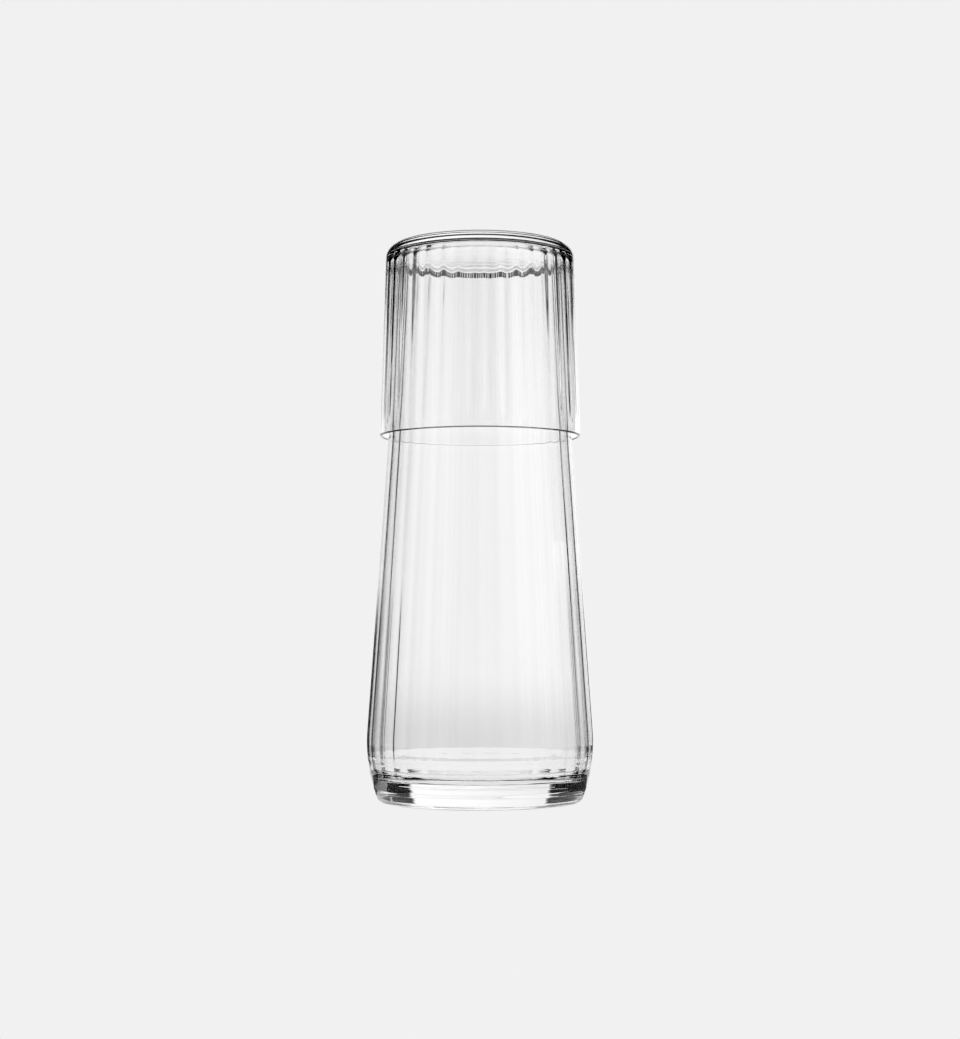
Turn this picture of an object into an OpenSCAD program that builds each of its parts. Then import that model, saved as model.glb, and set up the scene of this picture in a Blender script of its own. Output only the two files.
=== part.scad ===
// Bedside carafe with a tumbler turned over its neck as a lid.
// Both pieces are clear blown glass, smooth outside and fluted inside.
// Millimetres, +Z up, origin on the table under the centre of the foot.

/* [Carafe] */
// Height from the table to the top of the mouth
carafe_height = 218.3; // [190:0.1:250]
// Outside diameter of the mouth
mouth_diameter = 63.4; // [56:0.2:72]
// Outside diameter at the widest ring
body_diameter = 90; // [84:0.5:104]
// Height of the widest ring above the table
heel_height = 24; // [18:0.5:30]
// Radius of the turn from the tapered wall in to the foot
heel_radius = 62; // [50:1:90]
// Rounding of the foot's edge
foot_radius = 3.5; // [2:0.25:5]
// Width of the ring that the carafe stands on
foot_ring = 7; // [4:0.5:12]
// Depth of the hollow under the foot
foot_hollow = 1.2; // [0.4:0.1:3]
// Thickness of the carafe's base
carafe_base = 10; // [6:0.5:13]
// Rounding between the carafe's floor and its wall
carafe_floor_radius = 5; // [3:0.25:8]
// Carafe's wall at the widest ring
heel_wall = 2; // [1.6:0.1:4]
// Carafe's wall at the mouth, which is rounded over its full thickness
mouth_wall = 1.6; // [1.2:0.1:3]

/* [Tumbler] */
// Height of the tumbler
tumbler_height = 77.3; // [60:0.1:95]
// Thickness of the tumbler's base
tumbler_base = 4.2; // [3:0.1:8]
// Rounding of the outer edge of the tumbler's base
tumbler_edge_radius = 5.5; // [3:0.25:8]
// Width of the ring that the tumbler stands on when it is in use
tumbler_ring = 6; // [3:0.5:10]
// Depth of the hollow in the tumbler's base
tumbler_hollow = 0.2; // [0.1:0.1:1]
// Tumbler's wall beside its floor
tumbler_wall = 1.9; // [1.6:0.1:4]
// Tumbler's wall at the rim, which is rounded over its full thickness
rim_wall = 1.2; // [1:0.1:2.5]
// Rounding between the tumbler's floor and its wall
tumbler_floor_radius = 5; // [3:0.25:8]

/* [Fit of the tumbler on the carafe] */
// Clearance between the mouth and the tumbler's floor, which rests on it
seat_clearance = 0.25; // [0.1:0.05:0.5]
// Flat floor left all round the crest of the mouth's lip
lip_clearance = 0.2; // [0.1:0.1:2]
// Clearance between the neck and the tumbler's rim
rim_clearance = 2.3; // [0.8:0.1:4]

/* [Flutes] */
// Number of flutes inside the carafe
carafe_flutes = 32; // [16:1:48]
// Depth of the carafe's flutes
carafe_flute_depth = 0.18; // [0.1:0.02:0.4]
// Number of flutes inside the tumbler
tumbler_flutes = 36; // [16:1:48]
// Depth of the tumbler's flutes beside its floor
tumbler_flute_depth = 0.36; // [0.2:0.02:0.5]
// Depth that is left of them at the rim
tumbler_flute_fade = 0.12; // [0.08:0.02:0.2]
// Width of the ridge between two flutes
flute_ridge = 0.9; // [0.5:0.1:1.5]
// Length over which a flute runs out at each end
flute_end = 8; // [4:0.5:14]

/* [Hidden] */
$fn = 96;

// Coarsest step of an arc in a section, and the fewest steps that an arc has
arc_step = 12;
arc_least = 8;

// Plain wall left at each end of a flute, the part of its share of the wall that it may take,
// and how far its tips rise in front of the wall, as a part of its depth
flute_inset = 1.5;
flute_share = 0.98;
tip_rise = 0.3;

// Points along an arc, from one angle to another
function arc(centre, radius, from, to) =
    let (steps = max(arc_least, ceil(abs(to - from) / arc_step)))
    [for (i = [0:steps]) let (a = from + (to - from) * i / steps) centre + radius * [cos(a), sin(a)]];

// The same arc without its first point, to carry on from a tangent arc
function arc_on(centre, radius, from, to) =
    let (points = arc(centre, radius, from, to))
    [for (i = [1:len(points) - 1]) points[i]];

// Angle of the normal of the line that runs outside two circles, where a negative radius takes the other side
function tangent_normal(low, low_radius, high, high_radius) =
    let (v = low - high)
    atan2(v.y, v.x) + acos((high_radius - low_radius) / norm(v));

function direction(angle) = [cos(angle), sin(angle)];

// Centre of a circle that touches a level from above and a larger circle from inside
function inner_circle(level, radius, large_centre, large_radius) =
    let (rise = level + radius - large_centre.y)
    [large_centre.x + sqrt(pow(large_radius - radius, 2) - rise * rise), level + radius];

// Shallow hollow of a standing ring: from the axis out to the ring's inner edge
function hollow(ring_inner, depth) =
    let (ball = (pow(ring_inner, 2) + depth * depth) / (2 * depth))
    arc([0, depth - ball], ball, 90, 90 - asin(ring_inner / ball));

function angle_of(v) = atan2(v.y, v.x);

// Carafe's section: the circles that it turns round, and the lines between them
heel_centre = [body_diameter / 2 - heel_radius, heel_height];
heel_inner_radius = heel_radius - heel_wall;
foot_centre = inner_circle(0, foot_radius, heel_centre, heel_radius);
floor_centre = inner_circle(carafe_base, carafe_floor_radius, heel_centre, heel_inner_radius);
mouth_centre = [mouth_diameter / 2 - mouth_wall / 2, carafe_height - mouth_wall / 2];
neck_normal = tangent_normal(heel_centre, heel_radius, mouth_centre, mouth_wall / 2);
neck_inner_normal = tangent_normal(heel_centre, heel_inner_radius, mouth_centre, -mouth_wall / 2);
foot_turn = angle_of(foot_centre - heel_centre);
floor_turn = angle_of(floor_centre - heel_centre);

carafe_section = concat(
    hollow(foot_centre.x - foot_ring, foot_hollow),
    arc(foot_centre, foot_radius, -90, foot_turn),
    arc_on(heel_centre, heel_radius, foot_turn, neck_normal),
    arc(mouth_centre, mouth_wall / 2, neck_normal, 180 + neck_inner_normal),
    arc(heel_centre, heel_inner_radius, neck_inner_normal, floor_turn),
    arc_on(floor_centre, carafe_floor_radius, floor_turn, -90),
    [[0, carafe_base]]
);

// Radius of the carafe's neck at a height on its straight taper
function neck_radius(z) =
    (heel_centre * direction(neck_normal) + heel_radius - z * sin(neck_normal)) / cos(neck_normal);

// Tumbler's place: its floor on the mouth, its base up and its rim down round the neck
tumbler_top = carafe_height + seat_clearance + tumbler_base;
rim_height = tumbler_top - tumbler_height;

// Tumbler's section, the right way up, with its base at height 0
tumbler_floor_edge = mouth_centre.x + lip_clearance;
tumbler_floor_centre = [tumbler_floor_edge, tumbler_base + tumbler_floor_radius];
tumbler_edge_centre = [
    tumbler_floor_edge + tumbler_floor_radius + tumbler_wall - tumbler_edge_radius,
    tumbler_edge_radius
];
rim_centre = [neck_radius(rim_height) + rim_clearance + rim_wall / 2, tumbler_height - rim_wall / 2];
side_normal = tangent_normal(tumbler_edge_centre, tumbler_edge_radius, rim_centre, rim_wall / 2);
side_inner_normal = tangent_normal(tumbler_floor_centre, tumbler_floor_radius, rim_centre, -rim_wall / 2);

tumbler_section = concat(
    hollow(tumbler_edge_centre.x - tumbler_ring, tumbler_hollow),
    arc(tumbler_edge_centre, tumbler_edge_radius, -90, side_normal),
    arc(rim_centre, rim_wall / 2, side_normal, 180 + side_inner_normal),
    arc(tumbler_floor_centre, tumbler_floor_radius, side_inner_normal, -90),
    [[0, tumbler_base]]
);

// Distance from the axis to the centre of a flute's round, for a wall of this radius
function flute_centre(count, radius, depth) =
    let (half = 180 / count - flute_ridge / 2 / radius * 180 / PI)
    (pow(radius + depth, 2) - radius * radius) / (2 * (radius + depth - radius * cos(half)));

// A ring of flutes along a straight wall, each running out of the wall near the wall's two ends
module flutes(count, low_end, high_end, low_depth, high_depth) {
    along = (high_end - low_end) / norm(high_end - low_end);
    low_tip = low_end + flute_inset * along;
    low = low_tip + flute_end * along;
    high_tip = high_end - flute_inset * along;
    high = high_tip - flute_end * along;
    low_axis = [flute_centre(count, low.x, low_depth), low.y];
    high_axis = [flute_centre(count, high.x, high_depth), high.y];
    lean = atan2(high_axis.x - low_axis.x, high_axis.y - low_axis.y);
    // The cutter's outline: behind the wall for most of its length, in front of it at the tips
    reach = [
        low_tip - [low_depth * tip_rise, 0],
        low + [low_depth, 0],
        high + [high_depth, 0],
        high_tip - [high_depth * tip_rise, 0]
    ];
    outline = [for (p = reach) [(p - low_axis) * direction(-lean), (p - low_axis) * direction(90 - lean)]];
    // Each flute keeps to its own share of the wall, so that neighbours stay apart
    share = flute_share * 360 / count;
    beside = [2 * low_depth, 0];
    for (i = [0:count - 1])
        rotate([0, 0, 360 * i / count])
            intersection() {
                rotate([0, 0, -share / 2])
                    rotate_extrude(angle = share)
                        polygon([low_tip - beside, low_tip + beside, high_tip + beside, high_tip - beside]);
                translate([low_axis.x, 0, low_axis.y])
                    rotate([0, lean, 0])
                        rotate_extrude()
                            polygon(concat([[0, outline[0].y]], outline, [[0, outline[3].y]]));
            }
}

module carafe() {
    color([0.88, 0.93, 0.94, 0.45])
        difference() {
            rotate_extrude() polygon(carafe_section);
            flutes(
                carafe_flutes,
                heel_centre + heel_inner_radius * direction(neck_inner_normal),
                mouth_centre - mouth_wall / 2 * direction(neck_inner_normal),
                carafe_flute_depth,
                carafe_flute_depth
            );
        }
}

module tumbler() {
    color([0.84, 0.90, 0.92, 0.45])
        translate([0, 0, tumbler_top])
            rotate([180, 0, 0])
                difference() {
                    rotate_extrude() polygon(tumbler_section);
                    flutes(
                        tumbler_flutes,
                        tumbler_floor_centre + tumbler_floor_radius * direction(side_inner_normal),
                        rim_centre - rim_wall / 2 * direction(side_inner_normal),
                        tumbler_flute_depth,
                        tumbler_flute_fade
                    );
                }
}

carafe();
tumbler();
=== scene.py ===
import math

import bmesh
import bpy
from mathutils import Matrix, Vector, noise


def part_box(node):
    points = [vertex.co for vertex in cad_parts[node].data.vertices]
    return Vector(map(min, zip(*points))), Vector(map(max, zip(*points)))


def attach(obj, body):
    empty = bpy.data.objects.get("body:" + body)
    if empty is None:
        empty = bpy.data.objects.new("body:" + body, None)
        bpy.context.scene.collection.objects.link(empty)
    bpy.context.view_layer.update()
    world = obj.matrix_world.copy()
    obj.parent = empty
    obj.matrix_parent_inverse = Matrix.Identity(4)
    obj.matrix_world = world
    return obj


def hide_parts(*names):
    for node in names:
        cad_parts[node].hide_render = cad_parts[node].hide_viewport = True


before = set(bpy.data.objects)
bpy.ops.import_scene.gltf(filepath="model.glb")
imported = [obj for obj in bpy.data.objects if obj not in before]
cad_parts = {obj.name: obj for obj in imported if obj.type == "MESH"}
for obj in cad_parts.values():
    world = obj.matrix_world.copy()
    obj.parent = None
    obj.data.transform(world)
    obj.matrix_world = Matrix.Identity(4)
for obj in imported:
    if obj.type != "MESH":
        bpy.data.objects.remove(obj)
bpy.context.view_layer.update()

# Camera.
# It stands level with the lower body and tips up a little, as in the photograph, so the tumbler's
# upturned base is seen slightly from below and the foot slightly from above.
camera_distance = 0.779
camera_height = 0.0689
camera_tip = math.radians(3.19)
camera_data = bpy.data.cameras.new("camera")
camera_data.lens = 67.5
camera_data.clip_end = 20
camera = bpy.data.objects.new("camera", camera_data)
camera.location = (0, -camera_distance, camera_height)
camera.rotation_euler = (math.radians(90) + camera_tip, 0, 0)
bpy.context.scene.collection.objects.link(camera)
bpy.context.scene.camera = camera
bpy.context.scene.view_settings.view_transform = "Standard"

# Carafe.
# One piece of clear blown glass: a straight taper over a heavy base, smooth outside, with a round lip.
# The inside has shallow upright flutes, no two quite alike, and the heel and the floor wave a little.
mm = 0.001
carafe_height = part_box("carafe")[1].z
mouth_radius = 31.7 * mm
body_radius = 45 * mm
heel_height = 24 * mm
heel_radius = 62 * mm
foot_radius = 3.5 * mm
foot_ring = 7 * mm
foot_hollow = 1.2 * mm
carafe_base = 10 * mm
carafe_floor_radius = 5 * mm
heel_wall = 2 * mm
mouth_wall = 1.6 * mm
carafe_flutes = 32
carafe_flute_depth = 0.18 * mm
flute_ridge = 0.9 * mm
flute_end = 8 * mm

# How much the flutes differ, and how fast their places, depths and streaks change round and up the wall.
flute_unlike = 0.15
flute_drift_around = 3.1
flute_drift_up = 4
flute_depth_step = 0.73
flute_depth_up = 9
streak_share = 0.05
streak_around = 75
streak_up = 6

# Waves in the floor and in the hollow under it, with the points next to their edges that keep still,
# and the ripples of the heel, a long and a short one together.
floor_wave = 0.25 * mm
wave_density = 120
still_dome_points = 3
still_floor_points = 4
ripple_depth = 0.08 * mm
ripple_fade = heel_height / 2
long_ripple = 5 * mm
long_ripple_share = 0.6
short_ripple = 0.57 * long_ripple
short_ripple_share = 0.4
short_ripple_shift = 1

# Steps of the mesh round the glass, and the distance within which its points are one.
steps_per_flute = 12
merge_distance = 0.001 * mm


def direction(angle):
    return Vector((math.cos(angle), math.sin(angle)))


def ease(share):
    """A soft step from 0 to 1."""
    share = max(0, min(1, share))
    return share * share * (3 - 2 * share)


def arc(centre, radius, start, end, steps):
    angles = [start + (end - start) * i / steps for i in range(steps + 1)]
    return [centre + radius * direction(angle) for angle in angles]


def straight(start, end, rows):
    """Points between two ends, closest together at the ends, so that the stretch shades straight."""
    shares = [0.5 - 0.5 * math.cos(math.pi * i / rows) for i in range(1, rows)]
    return [start.lerp(end, share) for share in shares]


def tangent_normal(low, low_radius, high, high_radius):
    """Angle of the normal of the line outside two circles; a negative radius takes the other side."""
    across = low - high
    return math.atan2(across.y, across.x) + math.acos((high_radius - low_radius) / across.length)


def inner_circle(level, radius, large_centre, large_radius):
    """Centre of a circle that touches a level from above and a larger circle from inside."""
    rise = level + radius - large_centre.y
    return Vector((large_centre.x + math.sqrt((large_radius - radius) ** 2 - rise ** 2), level + radius))


def hollow(ring_inner, depth, steps):
    """Shallow round hollow of a standing ring, from the axis out to the ring."""
    ball = (ring_inner ** 2 + depth ** 2) / (2 * depth)
    quarter = math.radians(90)
    return arc(Vector((0, depth - ball)), ball, quarter, quarter - math.asin(ring_inner / ball), steps)


def rippled(points):
    """The heel with the faint level ripples that set in the hot glass, cut in and fading out upwards."""
    moved = []
    for point in points:
        fade = ease((heel_height - point.y) / ripple_fade)
        long_wave = long_ripple_share * math.sin(2 * math.pi * point.y / long_ripple)
        short_turn = 2 * math.pi * point.y / short_ripple + short_ripple_shift
        short_wave = short_ripple_share * math.sin(short_turn)
        moved.append(point + Vector((ripple_depth * fade * (long_wave + short_wave - 1), 0)))
    return moved


def plain(points, wave=0):
    """Points of a stretch without flutes, each with the depth of the flutes and of the waves there."""
    return [(point, 0, wave) for point in points]


def fluted_wall(start, end, start_depth, end_depth, rows):
    """Points down a straight inner wall, whose flutes start below the lip."""
    points = []
    length = (end - start).length
    for point in straight(start, end, rows):
        along = (point - start).length
        depth = start_depth + (end_depth - start_depth) * along / length
        points.append((point, depth * ease(along / flute_end), 0))
    return points


def corner(points, depth):
    """Points round a floor's corner, from the wall on, where the flutes run out."""
    last = len(points) - 1
    return [(point, depth * (1 - ease(i / last)), 0) for i, point in enumerate(points)]


def press_flute(vert, depth, flutes):
    """Move a point of the inner wall out into its flute, which differs a little from its neighbours."""
    radius = math.hypot(vert.co.x, vert.co.y)
    angle = math.atan2(vert.co.y, vert.co.x)
    around = Vector((math.cos(angle), math.sin(angle), 0))
    turn = angle / (2 * math.pi) * flutes
    drift_place = around * flute_drift_around + Vector((0, 0, vert.co.z * flute_drift_up))
    turn += flute_unlike * noise.noise(drift_place)
    number = round(turn)
    pitch = 2 * math.pi * radius / flutes
    across = min(1, abs(turn - number) * pitch / ((pitch - flute_ridge) / 2))
    own_place = Vector((number % flutes * flute_depth_step, vert.co.z * flute_depth_up, flutes))
    own = 1 + 2 * flute_unlike * noise.noise(own_place)
    streak_place = Vector((around.x * streak_around, around.y * streak_around, vert.co.z * streak_up))
    streak = noise.noise(streak_place)
    push = depth * (own * (1 - across ** 2) + streak_share * streak)
    vert.co.x *= 1 + push / radius
    vert.co.y *= 1 + push / radius


def turned_glass(name, outline, flutes):
    """A closed glass vessel: the half outline, from the axis out and back to it, turned once round."""
    glass = bmesh.new()
    depths = glass.verts.layers.float.new("flute_depth")
    waves = glass.verts.layers.float.new("wave")
    half = []
    for point, depth, wave in outline:
        vert = glass.verts.new((point.x, 0, point.y))
        vert[depths] = depth
        vert[waves] = wave
        half.append(vert)
    edges = [glass.edges.new(pair) for pair in zip(half, half[1:])]
    bmesh.ops.spin(
        glass,
        geom=half + edges,
        axis=(0, 0, 1),
        cent=(0, 0, 0),
        angle=math.radians(360),
        steps=flutes * steps_per_flute,
        use_merge=True,
    )
    bmesh.ops.remove_doubles(glass, verts=glass.verts, dist=merge_distance)
    depths = glass.verts.layers.float["flute_depth"]
    waves = glass.verts.layers.float["wave"]
    for vert in glass.verts:
        if vert[depths] > 0:
            press_flute(vert, vert[depths], flutes)
        if vert[waves] > 0:
            vert.co.z += vert[waves] * noise.noise(vert.co * wave_density)
    bmesh.ops.recalc_face_normals(glass, faces=glass.faces)
    for face in glass.faces:
        face.smooth = True
    mesh = bpy.data.meshes.new(name)
    glass.to_mesh(mesh)
    glass.free()
    vessel = bpy.data.objects.new(name, mesh)
    bpy.context.scene.collection.objects.link(vessel)
    return vessel


# The circles that the carafe's outline turns round, and the ends of the lines between them.
heel_centre = Vector((body_radius - heel_radius, heel_height))
heel_inner_radius = heel_radius - heel_wall
foot_centre = inner_circle(0, foot_radius, heel_centre, heel_radius)
floor_centre = inner_circle(carafe_base, carafe_floor_radius, heel_centre, heel_inner_radius)
mouth_centre = Vector((mouth_radius - mouth_wall / 2, carafe_height - mouth_wall / 2))
neck_normal = tangent_normal(heel_centre, heel_radius, mouth_centre, mouth_wall / 2)
neck_inner_normal = tangent_normal(heel_centre, heel_inner_radius, mouth_centre, -mouth_wall / 2)
foot_turn = math.atan2(foot_centre.y - heel_centre.y, foot_centre.x - heel_centre.x)
floor_turn = math.atan2(floor_centre.y - heel_centre.y, floor_centre.x - heel_centre.x)
down = math.radians(-90)
half_turn = math.radians(180)
foot_inner = foot_centre.x - foot_ring
neck_low = heel_centre + heel_radius * direction(neck_normal)
neck_high = mouth_centre + mouth_wall / 2 * direction(neck_normal)
neck_top = mouth_centre - mouth_wall / 2 * direction(neck_inner_normal)
neck_bottom = heel_centre + heel_inner_radius * direction(neck_inner_normal)
foot_dome = hollow(foot_inner, foot_hollow, steps=20)
floor_rim = Vector((floor_centre.x, carafe_base))
floor_middle = Vector((0, carafe_base))
carafe_floor = straight(floor_rim, floor_middle, rows=20)
carafe_outline = (
    plain(foot_dome[:-still_dome_points], floor_wave)
    + plain(foot_dome[-still_dome_points:])
    + plain(straight(Vector((foot_inner, 0)), Vector((foot_centre.x, 0)), rows=8))
    + plain(arc(foot_centre, foot_radius, down, foot_turn, steps=16))
    + plain(rippled(arc(heel_centre, heel_radius, foot_turn, neck_normal, steps=40)[1:]))
    + plain(straight(neck_low, neck_high, rows=16))
    + plain(arc(mouth_centre, mouth_wall / 2, neck_normal, half_turn + neck_inner_normal, steps=16))
    + fluted_wall(neck_top, neck_bottom, carafe_flute_depth, carafe_flute_depth, rows=32)
    + corner(
        arc(heel_centre, heel_inner_radius, neck_inner_normal, floor_turn, steps=12)
        + arc(floor_centre, carafe_floor_radius, floor_turn, down, steps=24)[1:],
        carafe_flute_depth,
    )
    + plain(carafe_floor[:still_floor_points])
    + plain(carafe_floor[still_floor_points:], floor_wave)
    + plain([floor_middle])
)
carafe = turned_glass("carafe_glass", carafe_outline, carafe_flutes)

# Clear glass, neutral in colour, with the slow waves that blowing leaves in its surface.
clear_glass = bpy.data.materials.new("clear_glass")
clear_glass.use_nodes = True
nodes = clear_glass.node_tree.nodes
links = clear_glass.node_tree.links
surface = nodes["Principled BSDF"]
surface.inputs["Base Color"].default_value = (1, 1, 1, 1)
surface.inputs["Roughness"].default_value = 0
surface.inputs["IOR"].default_value = 1.52
surface.inputs["Transmission Weight"].default_value = 1
place = nodes.new("ShaderNodeTexCoord")
stretch = nodes.new("ShaderNodeMapping")
stretch.inputs["Scale"].default_value = (1, 1, 0.4)
slow_waves = nodes.new("ShaderNodeTexNoise")
slow_waves.inputs["Scale"].default_value = 60
slow_waves.inputs["Detail"].default_value = 1
wavy = nodes.new("ShaderNodeBump")
wavy.inputs["Strength"].default_value = 0.2
wavy.inputs["Distance"].default_value = 0.1 * mm
links.new(place.outputs["Object"], stretch.inputs["Vector"])
links.new(stretch.outputs["Vector"], slow_waves.inputs["Vector"])
links.new(slow_waves.outputs["Fac"], wavy.inputs["Height"])
links.new(wavy.outputs["Normal"], surface.inputs["Normal"])
carafe.data.materials.append(clear_glass)
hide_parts("carafe")
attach(carafe, "carafe")

# Tumbler.
# The drinking glass of the set, of the same blown glass, turned upside down over the neck as a lid.
# Its floor rests on the mouth, its rim hangs free, and its flutes fade out towards the rim.
tumbler_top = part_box("tumbler")[1].z
rim_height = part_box("tumbler")[0].z
tumbler_base = 4.2 * mm
tumbler_edge_radius = 5.5 * mm
tumbler_ring = 6 * mm
tumbler_hollow = 0.2 * mm
tumbler_wall = 1.9 * mm
rim_wall = 1.2 * mm
tumbler_floor_radius = 5 * mm
lip_clearance = 0.2 * mm
rim_clearance = 2.3 * mm
rim_facet_low = math.radians(12)
rim_facet_high = math.radians(76)
tumbler_flutes = 36
tumbler_flute_depth = 0.36 * mm
tumbler_flute_fade = 0.12 * mm

# The outline is drawn the right way up, with the base at height 0, and turned over at the end.
tumbler_height = tumbler_top - rim_height
neck_line = heel_centre.dot(direction(neck_normal)) + heel_radius
neck_radius = (neck_line - rim_height * math.sin(neck_normal)) / math.cos(neck_normal)
rim_centre = Vector((neck_radius + rim_clearance + rim_wall / 2, tumbler_height - rim_wall / 2))
floor_edge = mouth_centre.x + lip_clearance
base_edge = floor_edge + tumbler_floor_radius + tumbler_wall
tumbler_floor_centre = Vector((floor_edge, tumbler_base + tumbler_floor_radius))
edge_centre = Vector((base_edge - tumbler_edge_radius, tumbler_edge_radius))
ring_inner = edge_centre.x - tumbler_ring
side_normal = tangent_normal(edge_centre, tumbler_edge_radius, rim_centre, rim_wall / 2)
side_inner_normal = tangent_normal(tumbler_floor_centre, tumbler_floor_radius, rim_centre, -rim_wall / 2)
side_low = edge_centre + tumbler_edge_radius * direction(side_normal)
side_high = rim_centre + rim_wall / 2 * direction(side_normal)
facet_low = rim_centre + rim_wall / 2 * direction(rim_facet_low)
facet_high = rim_centre + rim_wall / 2 * direction(rim_facet_high)
side_top = rim_centre - rim_wall / 2 * direction(side_inner_normal)
side_bottom = tumbler_floor_centre + tumbler_floor_radius * direction(side_inner_normal)
tumbler_floor_rim = Vector((floor_edge, tumbler_base))
tumbler_floor_middle = Vector((0, tumbler_base))
tumbler_outline = (
    plain(hollow(ring_inner, tumbler_hollow, steps=16))
    + plain(straight(Vector((ring_inner, 0)), Vector((edge_centre.x, 0)), rows=10))
    + plain(arc(edge_centre, tumbler_edge_radius, down, side_normal, steps=24))
    + plain(straight(side_low, side_high, rows=20))
    + plain(arc(rim_centre, rim_wall / 2, side_normal, rim_facet_low, steps=6))
    + plain(straight(facet_low, facet_high, rows=8))
    + plain(arc(rim_centre, rim_wall / 2, rim_facet_high, half_turn + side_inner_normal, steps=12))
    + fluted_wall(side_top, side_bottom, tumbler_flute_fade, tumbler_flute_depth, rows=24)
    + corner(
        arc(tumbler_floor_centre, tumbler_floor_radius, side_inner_normal, down, steps=20),
        tumbler_flute_depth,
    )
    + plain(straight(tumbler_floor_rim, tumbler_floor_middle, rows=20))
    + plain([tumbler_floor_middle])
)
turned_over = []
for point, depth, wave in tumbler_outline:
    turned_over.append((Vector((point.x, tumbler_top - point.y)), depth, wave))
tumbler = turned_glass("tumbler_glass", turned_over, tumbler_flutes)
tumbler.data.materials.append(clear_glass)
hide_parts("tumbler")
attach(tumbler, "tumbler")

# Studio.
# A pale lit table that runs into an even pale surround. A curved screen stands behind the glass: lit
# paper in the middle and black beside it, which draws the dark edges. The set turns with the camera.
surround_grey = 0.88
glass_surround = 0.05
table_half = 6
table_level = -0.2 * mm
screen_radius = 0.36
screen_top = 0.6
screen_end = math.radians(150)
screen_rows = 121
screen_steps = 150
paper_glow = 1.025
paper_foot = 0.81
paper_foot_rise = 0.045
middle_paper_start = 0.17
middle_paper_rise = 0.02
middle_paper_glow = 1.12
high_paper_start = 0.2
high_paper_rise = 0.065
high_paper_glow = 1.08
paper_lean = 0.0055
paper_lean_reach = 20
gap_low = 0.392
gap_high = 0.43
gap_soft = 0.01
top_glow = 0.6
left_edge = 42
right_edge = 43
high_left_edge = 24
high_right_edge = 30
high_edge_start = 0.245
high_edge_rise = 0.025
flank_start = 75
flank_grey = 0.4
low_edge = 40
low_grey = 0.25
low_top = 0.08
low_top_rise = 0.04
edge_soft = 3
card_side = 0.09
left_card_front = 0.065
right_card_front = 0.13
card_back = 0.235
card_top = 0.1
card_fade = 0.035
back_fade = 0.02
sheet_level = -0.1 * mm
sheet_front = 0.045
sheet_side = 0.12
sheet_glow = 1
near_table_level = -0.18 * mm
near_table_front = -0.3
near_table_grey = 0.08
foot_light_level = -0.15 * mm
foot_light_radius = 0.05
foot_light_corners = 36
foot_light_glow = 0.8
overhead_height = 0.8
overhead_front = -0.05
overhead_half = 0.5
overhead_grey = 0.9


def glow_paint(name):
    """A paint that only glows, and the node that sets how much."""
    paint = bpy.data.materials.new(name)
    paint.use_nodes = True
    paint_nodes = paint.node_tree.nodes
    paint_nodes.remove(paint_nodes["Principled BSDF"])
    glow = paint_nodes.new("ShaderNodeEmission")
    paint.node_tree.links.new(glow.outputs["Emission"], paint_nodes["Material Output"].inputs["Surface"])
    return paint, glow


# The table that the eye sees. The glass sees the lit sheets on it instead.
table_shape = bmesh.new()
bmesh.ops.create_grid(table_shape, x_segments=1, y_segments=1, size=table_half)
bmesh.ops.translate(table_shape, verts=table_shape.verts, vec=(0, 0, table_level))
table_mesh = bpy.data.meshes.new("table")
table_shape.to_mesh(table_mesh)
table_shape.free()
table = bpy.data.objects.new("table", table_mesh)
table_paint, table_glow = glow_paint("table_paint")
table_glow.inputs["Color"].default_value = (surround_grey, surround_grey, surround_grey, 1)
table_mesh.materials.append(table_paint)
table.visible_transmission = False
table.visible_glossy = False
bpy.context.scene.collection.objects.link(table)

turntable = bpy.data.objects.new("turntable", None)
bpy.context.scene.collection.objects.link(turntable)
follow = turntable.constraints.new("LOCKED_TRACK")
follow.target = camera
follow.track_axis = "TRACK_NEGATIVE_Y"
follow.lock_axis = "LOCK_Z"


def only_in_glass(name, shape, paint):
    """A stage piece that shows only in the glass, and turns with the camera."""
    mesh = bpy.data.meshes.new(name)
    shape.to_mesh(mesh)
    shape.free()
    mesh.materials.append(paint)
    piece = bpy.data.objects.new(name, mesh)
    piece.visible_camera = False
    piece.visible_diffuse = False
    piece.visible_shadow = False
    piece.parent = turntable
    bpy.context.scene.collection.objects.link(piece)


def even_sheet(name, corners, grey):
    """A flat sheet of one even brightness."""
    sheet_shape = bmesh.new()
    sheet_shape.faces.new([sheet_shape.verts.new(spot) for spot in corners])
    paint, glow = glow_paint(name)
    glow.inputs["Color"].default_value = (grey, grey, grey, 1)
    only_in_glass(name, sheet_shape, paint)


def oblong(side, front, back, level):
    """Corners of a level oblong that reaches as far to one side as to the other."""
    return [(-side, front, level), (side, front, level), (side, back, level), (-side, back, level)]


# What the glass sees of the table: dim all round, lit behind the glass and under the foot.
# A lit card hangs above.
even_sheet("lit_sheet", oblong(sheet_side, sheet_front, screen_radius, sheet_level), sheet_glow)
near_table = oblong(screen_radius, near_table_front, screen_radius, near_table_level)
even_sheet("near_table", near_table, near_table_grey)
foot_turns = [2 * math.pi * i / foot_light_corners for i in range(foot_light_corners)]
foot_circle = [foot_light_radius * direction(angle) for angle in foot_turns]
even_sheet("foot_light", [(spot.x, spot.y, foot_light_level) for spot in foot_circle], foot_light_glow)
overhead = oblong(overhead_half, overhead_front, overhead_half, overhead_height)
even_sheet("overhead", overhead, overhead_grey)

# A paint that glows as the glow value at each point says.
graded_paint, graded_glow = glow_paint("graded_paint")
brightness = graded_paint.node_tree.nodes.new("ShaderNodeAttribute")
brightness.attribute_name = "glow"
graded_paint.node_tree.links.new(brightness.outputs["Fac"], graded_glow.inputs["Strength"])


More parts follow.
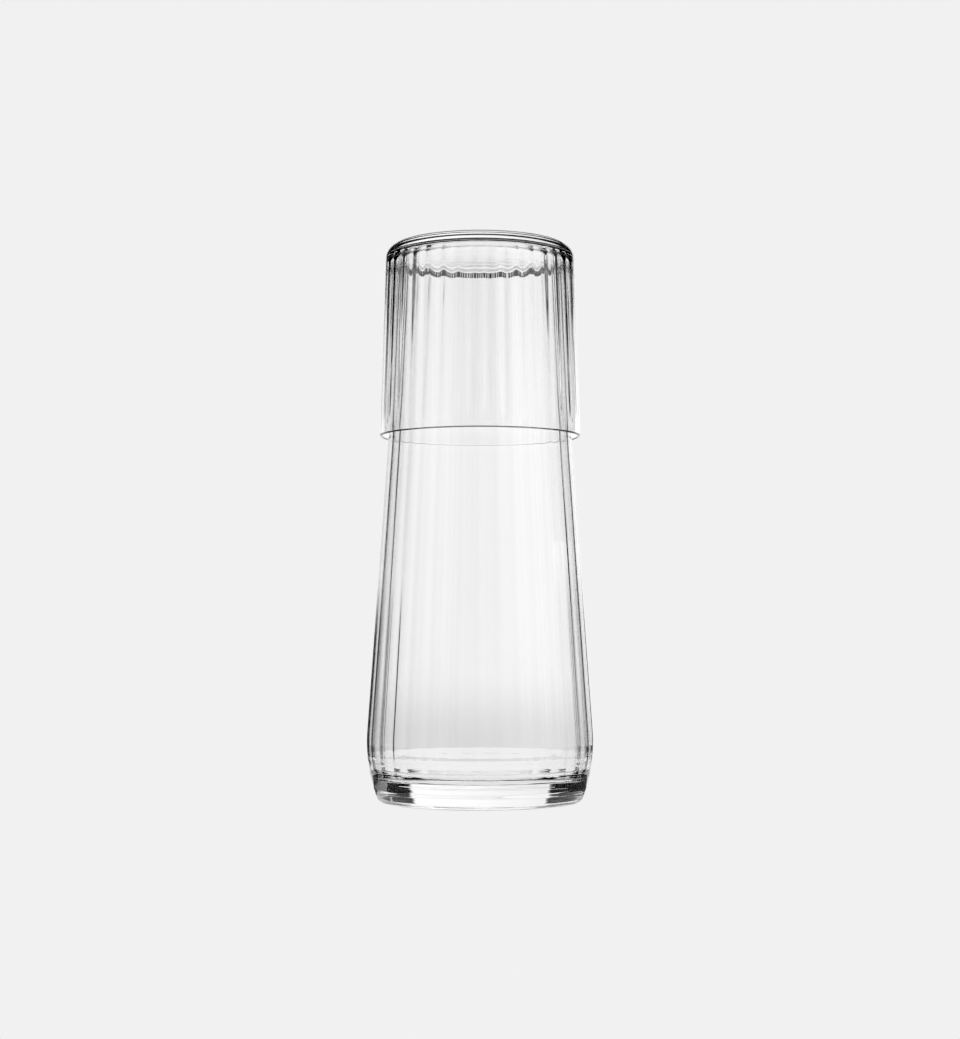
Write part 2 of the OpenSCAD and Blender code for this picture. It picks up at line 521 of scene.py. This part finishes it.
def black_card(name, across, front):
    """A low black card beside the glass that fades to the paper's brightness at its top and far end."""
    card_shape = bmesh.new()
    bmesh.ops.create_grid(card_shape, x_segments=24, y_segments=12, size=0.5)
    upright = Matrix((
        (0, 0, 1, across),
        (card_back - front, 0, 0, (card_back + front) / 2),
        (0, card_top, 0, card_top / 2),
        (0, 0, 0, 1),
    ))
    bmesh.ops.transform(card_shape, matrix=upright, verts=card_shape.verts)
    glow_layer = card_shape.verts.layers.float.new("glow")
    for vert in card_shape.verts:
        up = ease((vert.co.z - card_top + card_fade) / card_fade)
        far = ease((vert.co.y - card_back + back_fade) / back_fade)
        vert[glow_layer] = paper_glow * max(up, far)
    only_in_glass(name, card_shape, graded_paint)


black_card("left_card", -card_side, left_card_front)
black_card("right_card", card_side, right_card_front)


def past(angle, edge):
    """How far an angle to either side lies past a soft edge, from 0 to 1."""
    return ease((abs(angle) - edge + edge_soft) / (2 * edge_soft))


def screen_glow(angle, height):
    """How bright the screen is at an angle from straight behind the glass and a height over the table."""
    paper = paper_foot + (paper_glow - paper_foot) * ease(height / paper_foot_rise)
    middle = ease((height - middle_paper_start) / middle_paper_rise)
    paper += (middle_paper_glow - paper_glow) * middle
    upper_paper = ease((height - high_paper_start) / high_paper_rise)
    paper += (high_paper_glow - middle_paper_glow) * upper_paper
    paper *= 1 - ease((height - gap_low) / gap_soft)
    paper += top_glow * ease((height - gap_high) / gap_soft)
    paper *= 1 + paper_lean * max(-paper_lean_reach, min(paper_lean_reach, angle))
    high = ease((height - high_edge_start) / high_edge_rise)
    edge = left_edge + (high_left_edge - left_edge) * high
    if angle > 0:
        edge = right_edge + (high_right_edge - right_edge) * high
    upper = paper * (1 - past(angle, edge)) + flank_grey * past(angle, flank_start)
    lower = paper * (1 - past(angle, low_edge)) + low_grey * past(angle, low_edge)
    rise = ease((height - low_top) / low_top_rise)
    return lower * (1 - rise) + upper * rise


screen_shape = bmesh.new()
screen_shape.verts.layers.float.new("glow")
post = []
for row in range(screen_rows):
    post.append(screen_shape.verts.new((0, screen_radius, screen_top * row / (screen_rows - 1))))
post_edges = [screen_shape.edges.new(pair) for pair in zip(post, post[1:])]
to_one_end = Matrix.Rotation(screen_end, 3, "Z")
bmesh.ops.rotate(screen_shape, verts=post, cent=(0, 0, 0), matrix=to_one_end)
bmesh.ops.spin(
    screen_shape,
    geom=post + post_edges,
    axis=(0, 0, 1),
    cent=(0, 0, 0),
    angle=-2 * screen_end,
    steps=screen_steps,
)
glow_layer = screen_shape.verts.layers.float["glow"]
for vert in screen_shape.verts:
    vert[glow_layer] = screen_glow(math.degrees(math.atan2(vert.co.x, vert.co.y)), vert.co.z)
only_in_glass("screen", screen_shape, graded_paint)

# The surround is pale to the eye. In the glass it shows dark.
surround = bpy.data.worlds.new("surround")
surround.use_nodes = True
surround.cycles.sampling_method = "NONE"
bpy.context.scene.world = surround
sky = surround.node_tree.nodes
sky_links = surround.node_tree.links
to_eye = sky["Background"]
to_eye.inputs["Color"].default_value = (surround_grey, surround_grey, surround_grey, 1)
in_glass = sky.new("ShaderNodeBackground")
in_glass.inputs["Color"].default_value = (glass_surround, glass_surround, glass_surround, 1)
ray = sky.new("ShaderNodeLightPath")
eye_or_glass = sky.new("ShaderNodeMixShader")
sky_links.new(ray.outputs["Is Camera Ray"], eye_or_glass.inputs["Fac"])
sky_links.new(in_glass.outputs["Background"], eye_or_glass.inputs[1])
sky_links.new(to_eye.outputs["Background"], eye_or_glass.inputs[2])
sky_links.new(eye_or_glass.outputs["Shader"], sky["World Output"].inputs["Surface"])

# Light passes through many layers of glass, but long paths inside one wall die out and draw dark lines.
bpy.context.scene.cycles.max_bounces = 24
bpy.context.scene.cycles.transmission_bounces = 24
bpy.context.scene.cycles.glossy_bounces = 6
